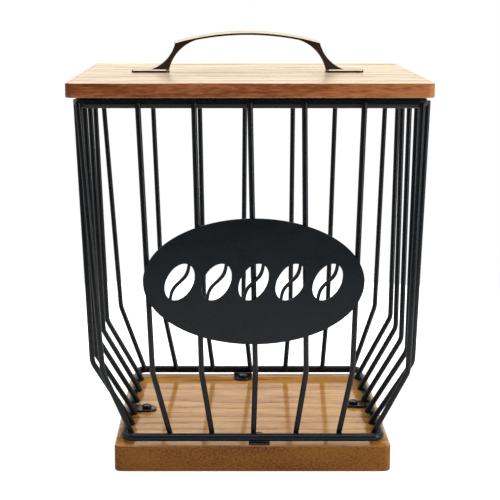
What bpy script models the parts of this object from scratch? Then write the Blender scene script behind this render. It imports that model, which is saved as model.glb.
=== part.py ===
# Storage basket with a lift-off lid.
# Twenty-four bent wires are welded between a wide upper ring and a narrow lower ring.
# Four tabs under the lower ring are screwed to a wooden base board. An oval plate, pierced
# with a row of beans, is welded across the front wires. The wooden lid rests on the upper
# ring, is kept in place by two cleats, and lifts off by an arched metal pull.
# Metres, +Z up. The base stands on z = 0, the front faces -Y, the lid's middle is at x = y = 0.

from math import asin, atan2, cos, hypot, pi, radians, sin, sqrt, tan

import bmesh
import bpy
from mathutils import Matrix, Vector

# Shared by all pieces: the clearance between neighbours, how far a cutter runs past what it cuts,
# and how close two points lie that are one
GAP = 0.0003
OVERRUN = 0.002
MERGE = 0.00001

# Base board
BASE_WIDTH = 0.1726
BASE_DEPTH = 0.1653
BASE_THICK = 0.0169
BASE_CORNER = 0.0045
BASE_EDGE = 0.0008

# Lower ring, set in from the edges of the base board
LOW_WIRE = 0.0048
LOW_INSET_SIDE = 0.0035
LOW_INSET_FRONT = 0.0016
LOW_CORNER = 0.006

# Upper ring, set in under the edges of the lid
TOP_WIRE = 0.0054
TOP_CORNER = 0.005
CAGE_HEIGHT = 0.2104

# How far the basket stands to the right of the lid's middle and behind it, and how far the upper
# ring leans back from there
BASKET_ASIDE = 0.0027
BASKET_BEHIND = 0.0015
LEAN_ASIDE = -0.0018
LEAN_BEHIND = -0.0015

# Wires of the cage: how far apart they stand at the upper ring, at the knee and at the lower ring,
# and how far their knees lie in from their upper ends
WIRE = 0.003
FRONT_WIRES = 7
FRONT_PITCH_TOP = 0.0331
FRONT_PITCH_KNEE = 0.0311
FRONT_PITCH_LOW = 0.0265
SIDE_WIRES = 5
SIDE_PITCH_TOP = 0.036
SIDE_PITCH_KNEE = 0.0304
SIDE_PITCH_LOW = 0.0256
KNEE_IN_SIDE = 0.0044
KNEE_IN_FRONT = 0.007
KNEE_RISE = 0.045
KNEE_BEND = 0.011
WIRE_PAST_TOP = 0.0005
WIRE_SHORT_LOW = 0.0006

# How far each wire of the front and back strays from its even place, from left to right. They are
# bent and welded by hand. The end wires sit on the rings' corners, turned from the front or back.
FRONT_STRAY_TOP = (0, -0.0002, -0.0005, -0.0008, -0.002, -0.0001, 0)
FRONT_STRAY_KNEE = (0.0013, 0.0007, -0.0005, 0.0014, 0.0013, -0.0015, 0.0013)
FRONT_STRAY_LOW = (0, 0.0016, 0.0013, 0.0006, 0.0005, 0.0008, 0)
FRONT_SEATS = (radians(40), radians(30))
BACK_STRAY_TOP = (0, -0.0018, -0.001, -0.0011, 0.0003, -0.002, 0)
BACK_STRAY_KNEE = (-0.0006, -0.001, -0.0015, -0.0038, -0.0003, -0.004, -0.0004)
BACK_STRAY_LOW = (0, 0.0005, 0.0006, 0.0013, 0.0001, 0.0006, 0)
BACK_SEATS = (radians(60), radians(30))
LOW_SEAT = radians(45)

# The same for the wires of the left and right, from front to back. The left ones lean forward.
LEFT_STRAY_TOP = (0, -0.018, -0.025, -0.026, -0.025)
LEFT_STRAY_KNEE = (-0.0045, -0.0135, -0.0145, -0.0145, -0.015)
LEFT_STRAY_LOW = (-0.0035, -0.0065, -0.0055, -0.0055, -0.0045)
RIGHT_STRAY_TOP = (-0.01, 0, 0, 0, -0.01)
RIGHT_STRAY_KNEE = (-0.0045, -0.0075, -0.0075, -0.0065, -0.0055)
RIGHT_STRAY_LOW = (-0.0015, -0.0035, -0.0035, -0.0025, -0.0015)

# Tabs under the lower ring, each a little to one side of the middle. The shifts are those of the
# front, right, back and left tab.
TAB_WIDTH = 0.0131
TAB_THICK = 0.0012
TAB_OUT = 0.0032
TAB_IN = 0.017
TAB_SHIFTS = (0.0042, 0.0027, 0.0042, 0.0072)

# Pan-head wood screws that hold the tabs
TAB_SCREW = 0.0034
TAB_SCREW_LENGTH = 0.012
TAB_HEAD = 0.0066
TAB_HEAD_HEIGHT = 0.0021

# Oval plate on the front wires
PLATE_WIDTH = 0.133
PLATE_HEIGHT = 0.078
PLATE_THICK = 0.0012
PLATE_RISE = 0.1024

# Beans cut through the plate, each in two halves beside a curved crease
BEANS = 5
BEAN_LENGTH = 0.0245
BEAN_WIDTH = 0.0158
BEAN_PITCH = 0.0222
BEAN_TILT = radians(28)
BEAN_CREASE = 0.0021
BEAN_SWAY = 0.0014

# Lid board
LID_WIDTH = 0.215
LID_DEPTH = 0.203
LID_THICK = 0.0084
LID_CORNER = 0.0045
LID_EDGE = 0.0006
LID_OVERHANG_SIDE = 0.0011
LID_OVERHANG_FRONT = 0.0042

# Cleats under the lid, just inside the upper ring
CLEAT_WIDTH = 0.014
CLEAT_THICK = 0.0045
CLEAT_CORNER = 0.004
CLEAT_EDGE = 0.0005
CLEAT_PLAY = 0.0015

# Countersunk screws that hold the cleats
CLEAT_SCREW = 0.0028
CLEAT_SCREW_LENGTH = 0.009
CLEAT_HEAD = 0.0056
CLEAT_HEAD_HEIGHT = 0.0016
CLEAT_SCREW_SPACING = 0.11

# Arched pull: a wide strap on narrower legs that stand on flat feet
PULL_LENGTH = 0.15
PULL_HEIGHT = 0.0261
PULL_WIDTH = 0.0115
PULL_CORNERS = 0.0942
ARCH_RISE = 0.0066
ARCH_THICK = 0.0024
STRAP_THICK = 0.0017
LEG_WIDTH = 0.008
LEG_ROOT = 0.0625
LEG_OUT_HOLLOW = 0.003
LEG_IN_HOLLOW = 0.0036
LEG_IN_SPAN = 0.066
LEG_SET_IN = 0.0004
FOOT_LENGTH = 0.0245
FOOT_THICK = 0.0017
FOOT_CORNER = 0.003

# Machine screws from under the lid into the roots of the legs
PULL_SCREW = 0.004
PULL_SCREW_SPACING = 0.108
PULL_SCREW_GRIP = 0.0036
PULL_HEAD = 0.0076
PULL_HEAD_HEIGHT = 0.0024

# How finely round shapes are divided
SPLINE_SIDES = 2
RING_SIDES = 3
CORNER_STEPS = 5
BEND_STEPS = 4
ARC_STEPS = 8
BEAN_STEPS = 9
ROUND_STEPS = 20
OVAL_STEPS = 72

# Heights of the stack, from the base upwards
TAB_BOTTOM = BASE_THICK + GAP
TAB_TOP = TAB_BOTTOM + TAB_THICK
LOW_Z = TAB_TOP + GAP + LOW_WIRE / 2
KNEE_Z = LOW_Z + KNEE_RISE
TOP_Z = LOW_Z + CAGE_HEIGHT
LID_BOTTOM = TOP_Z + TOP_WIRE / 2 + GAP
LID_TOP = LID_BOTTOM + LID_THICK
PULL_BOTTOM = LID_TOP + GAP

# Centre lines of the two rings
LOW_HALF_X = BASE_WIDTH / 2 - LOW_INSET_SIDE - LOW_WIRE / 2
LOW_HALF_Y = BASE_DEPTH / 2 - LOW_INSET_FRONT - LOW_WIRE / 2
TOP_HALF_X = LID_WIDTH / 2 - LID_OVERHANG_SIDE - WIRE - GAP - TOP_WIRE / 2
TOP_HALF_Y = LID_DEPTH / 2 - LID_OVERHANG_FRONT - WIRE - GAP - TOP_WIRE / 2
LOW_REACH = LOW_WIRE / 2 + WIRE / 2 + GAP
TOP_REACH = TOP_WIRE / 2 + WIRE / 2 + GAP

# How far the knees of the wires are from the middle
KNEE_HALF_X = TOP_HALF_X + TOP_REACH - KNEE_IN_SIDE
KNEE_HALF_Y = TOP_HALF_Y + TOP_REACH - KNEE_IN_FRONT


def clear_scene():
    """Remove every object, so that only the basket is there."""
    for obj in list(bpy.data.objects):
        bpy.data.objects.remove(obj, do_unlink=True)


def new_collection(name):
    """Make a collection and link it to the scene."""
    group = bpy.data.collections.new(name)
    bpy.context.scene.collection.children.link(group)
    return group


def finish(name, color, roughness, metallic):
    """Make a plain surface for one kind of piece."""
    surface = bpy.data.materials.new(name)
    surface.use_nodes = True
    shader = surface.node_tree.nodes["Principled BSDF"]
    shader.inputs["Base Color"].default_value = (*color, 1.0)
    shader.inputs["Roughness"].default_value = roughness
    shader.inputs["Metallic"].default_value = metallic
    surface.diffuse_color = (*color, 1.0)
    return surface


def put(obj, name, surface):
    """Name a piece, give it its surface and file it with the basket."""
    obj.name = name
    obj.data.name = name
    obj.data.materials.clear()
    obj.data.materials.append(surface)
    for group in list(obj.users_collection):
        group.objects.unlink(obj)
    BASKET.objects.link(obj)
    return obj


def hide_cutter(obj, name):
    """File a cutting shape away from the pieces."""
    obj.name = name
    obj.hide_render = True
    obj.display_type = "WIRE"
    for group in list(obj.users_collection):
        group.objects.unlink(obj)
    CUTTERS.objects.link(obj)
    return obj


def carry(name, aside, behind):
    """Parent the pieces and cutters made since the last empty to a new one, and put it in place."""
    empty = bpy.data.objects.new(name, None)
    for obj in [*BASKET.objects, *CUTTERS.objects]:
        if obj.parent is None and obj.data is not None:
            obj.parent = empty
    BASKET.objects.link(empty)
    empty.location = (aside, behind, 0)


def combine(target, other, operation):
    """Cut a shape out of a piece, or join it to the piece."""
    step = target.modifiers.new(other.name, "BOOLEAN")
    step.operation = operation
    step.solver = "EXACT"
    step.object = other


def shade(mesh):
    """Shade round faces smooth and keep real edges sharp."""
    mesh.shade_smooth()
    mesh.set_sharp_from_angle(angle=radians(35))


def object_from_bmesh(shape, name):
    """Turn a bmesh into an object of the scene."""
    mesh = bpy.data.meshes.new(name)
    shape.to_mesh(mesh)
    shape.free()
    obj = bpy.data.objects.new(name, mesh)
    bpy.context.scene.collection.objects.link(obj)
    return obj


def board(name, size, corner, edge):
    """A flat board, centred in plan on its origin and standing on it, with eased edges."""
    width, depth, thick = size
    shape = bmesh.new()
    place = Matrix.Translation((0, 0, thick / 2)) @ Matrix.Diagonal((width, depth, thick, 1))
    bmesh.ops.create_cube(shape, size=1, matrix=place)
    upright = [e for e in shape.edges if abs(e.verts[0].co.z - e.verts[1].co.z) > thick / 2]
    bmesh.ops.bevel(shape, geom=upright, offset=corner, segments=CORNER_STEPS, profile=0.5,
                    affect="EDGES")
    flat = [f for f in shape.faces if abs(f.normal.z) > cos(radians(1))]
    rims = [e for f in flat for e in f.edges]
    bmesh.ops.bevel(shape, geom=rims, offset=edge, segments=2, profile=0.5, affect="EDGES")
    obj = object_from_bmesh(shape, name)
    shade(obj.data)
    return obj


def drill(target, name, center, diameter, low, high):
    """Drill a round hole along Z through a piece."""
    bpy.ops.mesh.primitive_cylinder_add(vertices=ROUND_STEPS, radius=diameter / 2,
                                        depth=high - low,
                                        location=(center[0], center[1], (low + high) / 2))
    combine(target, hide_cutter(bpy.context.object, name), "DIFFERENCE")


def turned(name, profile, place):
    """A turned shape: its profile runs down its outer side, from the axis to the axis."""
    mesh = bpy.data.meshes.new(name)
    edges = [(i, i + 1) for i in range(len(profile) - 1)]
    mesh.from_pydata([(r, 0, z) for r, z in profile], edges, [])
    obj = bpy.data.objects.new(name, mesh)
    bpy.context.scene.collection.objects.link(obj)
    obj.location = place
    spin = obj.modifiers.new("turn", "SCREW")
    spin.steps = ROUND_STEPS
    spin.render_steps = ROUND_STEPS
    spin.use_merge_vertices = True
    spin.merge_threshold = MERGE
    spin.use_smooth_shade = True
    return obj


def tube(name, points, diameter, sides, cyclic=False):
    """A round wire along straight steps, with closed ends."""
    line = bpy.data.curves.new(name, "CURVE")
    line.dimensions = "3D"
    line.bevel_depth = diameter / 2
    line.bevel_resolution = sides
    line.use_fill_caps = True
    spline = line.splines.new("POLY")
    spline.points.add(len(points) - 1)
    for knot, point in zip(spline.points, points):
        knot.co = (*point, 1)
    spline.use_cyclic_u = cyclic
    spline.use_smooth = True
    obj = bpy.data.objects.new(name, line)
    bpy.context.scene.collection.objects.link(obj)
    return obj


def slab(name, outlines, thick, pose):
    """A flat shape cut from sheet: its outlines lie in its own XY plane, half its thickness each way."""
    line = bpy.data.curves.new(name, "CURVE")
    line.dimensions = "2D"
    line.fill_mode = "BOTH"
    line.extrude = thick / 2
    for outline in outlines:
        spline = line.splines.new("POLY")
        spline.points.add(len(outline) - 1)
        for knot, point in zip(spline.points, outline):
            knot.co = (point[0], point[1], 0, 1)
        spline.use_cyclic_u = True
    flat = bpy.data.objects.new(name, line)
    bpy.context.scene.collection.objects.link(flat)
    flat.matrix_world = pose
    bpy.context.view_layer.update()
    return solid_from_curve(flat)


def solid_from_curve(flat):
    """Make a closed mesh of a filled curve, because a Boolean takes no curve."""
    depsgraph = bpy.context.evaluated_depsgraph_get()
    mesh = bpy.data.meshes.new_from_object(flat.evaluated_get(depsgraph))
    shape = bmesh.new()
    shape.from_mesh(mesh)
    bmesh.ops.remove_doubles(shape, verts=shape.verts, dist=MERGE)
    bmesh.ops.recalc_face_normals(shape, faces=shape.faces)
    shape.to_mesh(mesh)
    shape.free()
    shade(mesh)
    obj = bpy.data.objects.new(flat.name, mesh)
    bpy.context.scene.collection.objects.link(obj)
    obj.matrix_world = flat.matrix_world
    bpy.data.objects.remove(flat, do_unlink=True)
    return obj


def arc(start, end, bow, steps):
    """Points from start to end on an arc that bows to the left of the straight line."""
    chord = Vector(end) - Vector(start)
    middle = (Vector(start) + Vector(end)) / 2
    left = Vector((-chord.y, chord.x)).normalized()
    radius = (chord.length_squared / 4 + bow * bow) / (2 * bow)
    center = middle + left * (bow - radius)
    turn = -2 * asin(chord.length / 2 / radius)
    spoke = Vector(start) - center
    return [center + Matrix.Rotation(turn * i / steps, 2) @ spoke for i in range(steps + 1)]


def rounded_loop(half_x, half_y, corner, z):
    """The centre line of a rectangular ring with round corners."""
    points = []
    for quarter, (sign_x, sign_y) in enumerate(((1, 1), (-1, 1), (-1, -1), (1, -1))):
        center_x = sign_x * (half_x - corner)
        center_y = sign_y * (half_y - corner)
        for step in range(CORNER_STEPS + 1):
            angle = (quarter + step / CORNER_STEPS) * pi / 2
            points.append((center_x + corner * cos(angle), center_y + corner * sin(angle), z))
    return points


def fillet(first, middle, last, radius, steps):
    """Points of the bend that rounds the corner at middle."""
    back = (first - middle).normalized()
    ahead = (last - middle).normalized()
    half = back.angle(ahead) / 2
    reach = radius / tan(half)
    axis = (back + ahead).normalized()
    center = middle + axis * hypot(radius, reach)
    spoke = middle + back * reach - center
    normal = spoke.cross(middle + ahead * reach - center)
    sweep = pi - 2 * half
    return [center + Matrix.Rotation(sweep * i / steps, 3, normal) @ spoke for i in range(steps + 1)]


def touch(knee_out, knee_z, ring_out, ring_z, reach):
    """How far out a straight wire from the knee passes a ring, at the ring's height, clear of it.

    A positive reach passes outside the ring, a negative one inside.
    """
    run = ring_out - knee_out
    rise = abs(ring_z - knee_z)
    angle = atan2(run, rise) + asin(reach / hypot(run, rise))
    return knee_out + rise * tan(angle)


def on_side(side, along, out, z):
    """A place given along one side of the basket and out from its middle."""
    places = {
        "front": (along, -out, z),
        "back": (along, out, z),
        "left": (-out, along, z),
        "right": (out, along, z),
    }
    return Vector(places[side])


def carried_on(start, through, z):
    """Where the line from start through a place reaches a height."""
    share = (z - start.z) / (through.z - start.z)
    return start + (through - start) * share


def wire_line(side, knee, top, low):
    """The centre line of one wire: from above the upper ring's middle, round the knee, to the lower ring."""
    knee_point = on_side(side, *knee)
    top_place = on_side(side, *top) + Vector((LEAN_ASIDE, LEAN_BEHIND, 0))
    top_point = carried_on(knee_point, top_place, TOP_Z + WIRE_PAST_TOP)
    low_point = carried_on(knee_point, on_side(side, *low), LOW_Z + WIRE_SHORT_LOW)
    bend = fillet(top_point, knee_point, low_point, KNEE_BEND, BEND_STEPS)
    return [top_point, *bend, low_point]


def straight_wire(side, along, knee_half, top_half, low_half):
    """A wire that meets the straight run of both rings: where it stands at its top, knee and low end."""
    top_out = touch(knee_half, KNEE_Z, top_half, TOP_Z, TOP_REACH)
    low_out = touch(knee_half, KNEE_Z, low_half, LOW_Z, -LOW_REACH)
    knee = (along[1], knee_half, KNEE_Z)
    return wire_line(side, knee, (along[0], top_out, TOP_Z), (along[2], low_out, LOW_Z))


def corner_place(knee, half_along, half_out, corner, seat, z, reach):
    """Where an end wire meets a ring, on its corner, turned by seat from the front run."""
    center = Vector((half_along - corner, half_out - corner))
    spoke = Vector((sin(seat), cos(seat)))
    knee_out = (Vector(knee) - center).dot(spoke)
    return center + spoke * touch(knee_out, KNEE_Z, corner, z, reach)


def corner_wire(side, hand, knee_along, seat):
    """A wire at the end of the front or back, which meets both rings on their corners."""
    flat = (abs(knee_along), KNEE_HALF_Y)
    top = corner_place(flat, TOP_HALF_X, TOP_HALF_Y, TOP_CORNER, seat, TOP_Z, TOP_REACH)
    low = corner_place(flat, LOW_HALF_X, LOW_HALF_Y, LOW_CORNER, LOW_SEAT, LOW_Z, -LOW_REACH)
    knee = (knee_along, KNEE_HALF_Y, KNEE_Z)
    return wire_line(side, knee, (hand * top.x, top.y, TOP_Z), (hand * low.x, low.y, LOW_Z))


def make_front_and_back(surface):
    """Seven wires across the front and seven across the back, each a little out of its even place."""
    pitches = (FRONT_PITCH_TOP, FRONT_PITCH_KNEE, FRONT_PITCH_LOW)
    strays = {
        "front": (FRONT_STRAY_TOP, FRONT_STRAY_KNEE, FRONT_STRAY_LOW),
        "back": (BACK_STRAY_TOP, BACK_STRAY_KNEE, BACK_STRAY_LOW),
    }
    seats = {"front": FRONT_SEATS, "back": BACK_SEATS}
    last = (FRONT_WIRES - 1) / 2
    for side in ("front", "back"):
        for number in range(FRONT_WIRES):
            place = number - last
            along = [place * pitch + stray[number] for pitch, stray in zip(pitches, strays[side])]
            if place == -last:
                line = corner_wire(side, -1, along[1], seats[side][0])
            elif place == last:
                line = corner_wire(side, 1, along[1], seats[side][1])
            else:
                line = straight_wire(side, along, KNEE_HALF_Y, TOP_HALF_Y, LOW_HALF_Y)
            name = f"wire_{side}_{number + 1}"
            put(tube(name, line, WIRE, SPLINE_SIDES), name, surface)


def make_sides(surface):
    """Five wires down each side, each a little out of its even place."""
    pitches = (SIDE_PITCH_TOP, SIDE_PITCH_KNEE, SIDE_PITCH_LOW)
    strays = {
        "left": (LEFT_STRAY_TOP, LEFT_STRAY_KNEE, LEFT_STRAY_LOW),
        "right": (RIGHT_STRAY_TOP, RIGHT_STRAY_KNEE, RIGHT_STRAY_LOW),
    }
    for side in ("left", "right"):
        for number in range(SIDE_WIRES):
            place = number - (SIDE_WIRES - 1) / 2
            along = [place * pitch + stray[number] for pitch, stray in zip(pitches, strays[side])]
            line = straight_wire(side, along, KNEE_HALF_X, TOP_HALF_X, LOW_HALF_X)
            name = f"wire_{side}_{number + 1}"
            put(tube(name, line, WIRE, SPLINE_SIDES), name, surface)


def make_rings(surface):
    """The upper ring that the lid rests on and the lower ring above the base."""
    low = rounded_loop(LOW_HALF_X, LOW_HALF_Y, LOW_CORNER, LOW_Z)
    top = rounded_loop(TOP_HALF_X, TOP_HALF_Y, TOP_CORNER, TOP_Z)
    put(tube("ring_lower", low, LOW_WIRE, RING_SIDES, cyclic=True), "ring_lower", surface)
    upper = put(tube("ring_upper", top, TOP_WIRE, RING_SIDES, cyclic=True), "ring_upper", surface)
    upper.location = (LEAN_ASIDE, LEAN_BEHIND, 0)


def tab_places():
    """For each side: its name, the ring's distance from the middle, the turn that faces it, the shift."""
    return (
        ("front", LOW_HALF_Y, -pi / 2, TAB_SHIFTS[0]),
        ("right", LOW_HALF_X, 0, TAB_SHIFTS[1]),
        ("back", LOW_HALF_Y, pi / 2, TAB_SHIFTS[2]),
        ("left", LOW_HALF_X, pi, TAB_SHIFTS[3]),
    )


def screw_place(half, turn, shift, z):
    """The middle of a tab's round inner end, which its screw goes through."""
    flat = Vector((half - TAB_IN + TAB_WIDTH / 2, shift, z))
    return Matrix.Rotation(turn, 3, "Z") @ flat


def tab_outline():
    """A tab seen from above, pointing inwards along -X from the ring at its origin."""
    half = TAB_WIDTH / 2
    round_x = half - TAB_IN
    end = [(round_x - half * sin(pi * i / ARC_STEPS), half * cos(pi * i / ARC_STEPS))
           for i in range(ARC_STEPS + 1)]
    return [(TAB_OUT, half), *end, (TAB_OUT, -half)]


def make_tabs(steel, black):
    """Four tabs under the lower ring, each with its screw into the base board."""
    for side, half, turn, shift in tab_places():
        flat = Vector((half, shift, TAB_BOTTOM + TAB_THICK / 2))
        spin = Matrix.Rotation(turn, 4, "Z")
        pose = spin @ Matrix.Translation(flat)
        tab = slab(f"tab_{side}", [tab_outline()], TAB_THICK, pose)
        put(tab, f"tab_{side}", steel)
        hole = screw_place(half, turn, shift, 0)
        drill(tab, f"tab_hole_{side}", hole, TAB_SCREW + 2 * GAP, TAB_BOTTOM - OVERRUN,
              TAB_TOP + OVERRUN)
        make_tab_screw(f"tab_screw_{side}", screw_place(half, turn, shift, TAB_TOP + GAP), black)


def dome(radius, height, foot_radius):
    """The profile of a screw head from its top down to its seat and in to the shank."""
    steps = ARC_STEPS // 2
    cap = [(radius * sin(pi / 2 * i / steps), height * (1 + cos(pi / 2 * i / steps)) / 2)
           for i in range(steps + 1)]
    return [*cap, (radius, 0), (foot_radius, 0)]


def make_tab_screw(name, seat, surface):
    """A pan-head wood screw with a cone point."""
    shank = TAB_SCREW / 2
    profile = [*dome(TAB_HEAD / 2, TAB_HEAD_HEIGHT, shank), (shank, TAB_SCREW - TAB_SCREW_LENGTH),
               (0, -TAB_SCREW_LENGTH)]
    put(turned(name, profile, seat), name, surface)


def make_base(surface):
    """The base board with a pilot hole under each tab screw."""
    base = board("base_board", (BASE_WIDTH, BASE_DEPTH, BASE_THICK), BASE_CORNER, BASE_EDGE)
    put(base, "base_board", surface)
    floor = TAB_TOP + GAP - TAB_SCREW_LENGTH - GAP
    for side, half, turn, shift in tab_places():
        drill(base, f"pilot_hole_{side}", screw_place(half, turn, shift, 0), TAB_SCREW + 2 * GAP, floor,
              BASE_THICK + OVERRUN)


def bean_half():
    """One half of a bean: round its rim and back along the curved crease."""
    long_half = BEAN_LENGTH / 2
    wide_half = BEAN_WIDTH / 2
    side = BEAN_CREASE / 2
    tip = long_half * sqrt(1 - (side / wide_half) ** 2)
    start = asin(tip / long_half)
    rim = []
    for i in range(BEAN_STEPS + 1):
        angle = start * (2 * i / BEAN_STEPS - 1)
        rim.append(Vector((wide_half * cos(angle), long_half * sin(angle))))
    crease = []
    for i in range(1, BEAN_STEPS):
        height = tip * (1 - 2 * i / BEAN_STEPS)
        crease.append(Vector((side + BEAN_SWAY * sin(pi * height / tip), height)))
    return rim + crease


def bean_row():
    """The outlines of all the beans, which lean alike."""
    half = bean_half()
    outlines = []
    for number in range(BEANS):
        place = number - (BEANS - 1) / 2
        for turn in (-BEAN_TILT, pi - BEAN_TILT):
            spin = Matrix.Rotation(turn, 2)
            outlines.append([spin @ point + Vector((place * BEAN_PITCH, 0)) for point in half])
    return outlines


def make_plate(surface):
    """The oval plate, leaning with the front wires that carry it."""
    run = touch(KNEE_HALF_Y, KNEE_Z, TOP_HALF_Y, TOP_Z, TOP_REACH) - KNEE_HALF_Y - LEAN_BEHIND
    lean = atan2(run, TOP_Z - KNEE_Z)
    middle_z = LOW_Z + PLATE_RISE
    wire_out = KNEE_HALF_Y + (middle_z - KNEE_Z) * tan(lean)
    out = wire_out + (WIRE / 2 + GAP + PLATE_THICK / 2) / cos(lean)
    pose = Matrix.Translation((0, -out, middle_z)) @ Matrix.Rotation(pi / 2 + lean, 4, "X")
    oval = [(PLATE_WIDTH / 2 * cos(2 * pi * i / OVAL_STEPS), PLATE_HEIGHT / 2 * sin(2 * pi * i / OVAL_STEPS))
            for i in range(OVAL_STEPS)]
    plate = put(slab("oval_plate", [oval], PLATE_THICK, pose), "oval_plate", surface)
    beans = slab("bean_cutter", bean_row(), PLATE_THICK + 2 * OVERRUN, pose)
    combine(plate, hide_cutter(beans, "bean_cutter"), "DIFFERENCE")


def make_lid(surface):
    """The lid board with holes for the pull's screws and the cleats' screws."""
    lid = board("lid_board", (LID_WIDTH, LID_DEPTH, LID_THICK), LID_CORNER, LID_EDGE)
    put(lid, "lid_board", surface)
    lid.location.z = LID_BOTTOM
    for name, hand in (("left", -1), ("right", 1)):
        drill(lid, f"pull_hole_{name}", (hand * PULL_SCREW_SPACING / 2, 0), PULL_SCREW + 2 * GAP,
              LID_BOTTOM - OVERRUN, LID_TOP + OVERRUN)
        for number, place in enumerate(cleat_screw_places(hand)):
            top = LID_BOTTOM - GAP - CLEAT_THICK + CLEAT_SCREW_LENGTH + GAP
            drill(lid, f"cleat_pilot_{name}_{number + 1}", place, CLEAT_SCREW + 2 * GAP,
                  LID_BOTTOM - OVERRUN, top)


def cleat_middle():
    """How far a cleat's middle is from the middle of the lid."""
    return TOP_HALF_X - TOP_WIRE / 2 - CLEAT_PLAY - CLEAT_WIDTH / 2


def cleat_screw_places(hand):
    """The two screws of a cleat, seen from above."""
    return [(hand * cleat_middle(), end * CLEAT_SCREW_SPACING / 2) for end in (-1, 1)]


def make_cleats(surface, zinc):
    """Two cleats that keep the lid over the ring, each held by two countersunk screws."""
    length = 2 * (TOP_HALF_Y - TOP_WIRE / 2 - CLEAT_PLAY)
    bottom = LID_BOTTOM - GAP - CLEAT_THICK
    for name, hand in (("left", -1), ("right", 1)):
        cleat = board(f"lid_cleat_{name}", (CLEAT_WIDTH, length, CLEAT_THICK), CLEAT_CORNER, CLEAT_EDGE)
        put(cleat, f"lid_cleat_{name}", surface)
        cleat.location = (hand * cleat_middle(), 0, bottom)
        for number, place in enumerate(cleat_screw_places(hand)):
            tag = f"{name}_{number + 1}"
            head_hole = turned(f"cleat_hole_{tag}", cleat_hole_profile(), (*place, bottom))
            combine(cleat, hide_cutter(head_hole, f"cleat_hole_{tag}"), "DIFFERENCE")
            make_cleat_screw(f"cleat_screw_{tag}", (*place, bottom), zinc)


def cleat_hole_profile():
    """The countersunk hole, from above the cleat down to below it."""
    shank = CLEAT_SCREW / 2 + GAP
    head = CLEAT_HEAD / 2 + GAP
    return [(0, CLEAT_THICK + OVERRUN), (shank, CLEAT_THICK + OVERRUN), (shank, CLEAT_HEAD_HEIGHT + GAP),
            (head, GAP), (head, -OVERRUN), (0, -OVERRUN)]


def make_cleat_screw(name, seat, surface):
    """A countersunk wood screw whose head lies level with the cleat's underside."""
    shank = CLEAT_SCREW / 2
    profile = [(0, CLEAT_SCREW_LENGTH), (shank, CLEAT_SCREW_LENGTH - CLEAT_SCREW),
               (shank, CLEAT_HEAD_HEIGHT), (CLEAT_HEAD / 2, 0), (0, 0)]
    put(turned(name, profile, seat), name, surface)


def leg_outline(hand):
    """One leg and its half of the arch, seen from the front, from the pull's underside upwards."""
    corner = PULL_CORNERS / 2 - LEG_SET_IN
    strap_z = PULL_HEIGHT - ARCH_RISE - STRAP_THICK / 2
    foot_in = PULL_LENGTH / 2 - FOOT_LENGTH + LEG_SET_IN
    low_z = FOOT_THICK / 2
    root = (LEG_ROOT, FOOT_THICK)
    inner = (LEG_IN_SPAN / 2, under_arch(LEG_IN_SPAN / 2))
    outer = arc((corner, strap_z), root, -LEG_OUT_HOLLOW, ARC_STEPS)
    inside = arc((foot_in, low_z), inner, -LEG_IN_HOLLOW, ARC_STEPS)
    points = [*outer, (LEG_ROOT, low_z), *inside]
    return [Vector((hand * p[0], p[1])) for p in points]


def under_arch(x):
    """The height of the arch's underside, at a distance from its middle."""
    radius = ((PULL_CORNERS / 2) ** 2 + ARCH_RISE ** 2) / (2 * ARCH_RISE)
    return PULL_HEIGHT - ARCH_THICK - radius + sqrt(radius ** 2 - x ** 2)


def web_outline():
    """Both legs and the thin web under the strap, as one outline."""
    left = leg_outline(-1)
    right = leg_outline(1)
    top_left, top_right = left[0], right[0]
    rise = ARCH_RISE * (top_right.x - top_left.x) / PULL_CORNERS
    crown = arc(top_left, top_right, rise, 2 * ARC_STEPS)
    start, end = right[-1], left[-1]
    bow = under_arch(0) - end.y
    under = arc(start, end, -bow, 2 * ARC_STEPS)
    return [*crown[:-1], *right[:-1], *under[:-1], *reversed(left[1:])]


def strap_outline():
    """The strap over the arch, seen from the front."""
    half = PULL_CORNERS / 2
    top_z = PULL_HEIGHT - ARCH_RISE
    top = arc((-half, top_z), (half, top_z), ARCH_RISE, 2 * ARC_STEPS)
    under = arc((half, top_z - STRAP_THICK), (-half, top_z - STRAP_THICK), -ARCH_RISE, 2 * ARC_STEPS)
    return [*top, *under]


def make_pull(surface):
    """The arched pull: legs and web, a wider strap over them and two flat feet."""
    pose = Matrix.Translation((0, 0, PULL_BOTTOM)) @ Matrix.Rotation(pi / 2, 4, "X")
    pull = put(slab("handle", [web_outline()], LEG_WIDTH, pose), "handle", surface)
    strap = slab("handle_strap", [strap_outline()], PULL_WIDTH, pose)
    combine(pull, hide_cutter(strap, "handle_strap"), "UNION")
    foot_x = PULL_LENGTH / 2 - FOOT_LENGTH / 2
    for name, hand in (("left", -1), ("right", 1)):
        foot = board(f"handle_foot_{name}", (FOOT_LENGTH, PULL_WIDTH, FOOT_THICK), FOOT_CORNER,
                     FOOT_THICK / 4)
        foot.location = (hand * foot_x, 0, PULL_BOTTOM)
        combine(pull, hide_cutter(foot, f"handle_foot_{name}"), "UNION")
    for name, hand in (("left", -1), ("right", 1)):
        drill(pull, f"handle_tap_{name}", (hand * PULL_SCREW_SPACING / 2, 0), PULL_SCREW + 2 * GAP,
              PULL_BOTTOM - OVERRUN, PULL_BOTTOM + PULL_SCREW_GRIP + GAP)


def make_pull_screws(surface):
    """Machine screws that go up through the lid into the pull's legs."""
    shank = PULL_SCREW / 2
    head = PULL_HEAD / 2
    tip = GAP + LID_THICK + GAP + PULL_SCREW_GRIP
    for name, hand in (("left", -1), ("right", 1)):
        profile = [(0, tip), (shank, tip), (shank, 0), (head, 0), (head, -PULL_HEAD_HEIGHT / 2),
                   (head / 2, -PULL_HEAD_HEIGHT), (0, -PULL_HEAD_HEIGHT)]
        seat = (hand * PULL_SCREW_SPACING / 2, 0, LID_BOTTOM - GAP)
        put(turned(f"handle_screw_{name}", profile, seat), f"handle_screw_{name}", surface)


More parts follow.
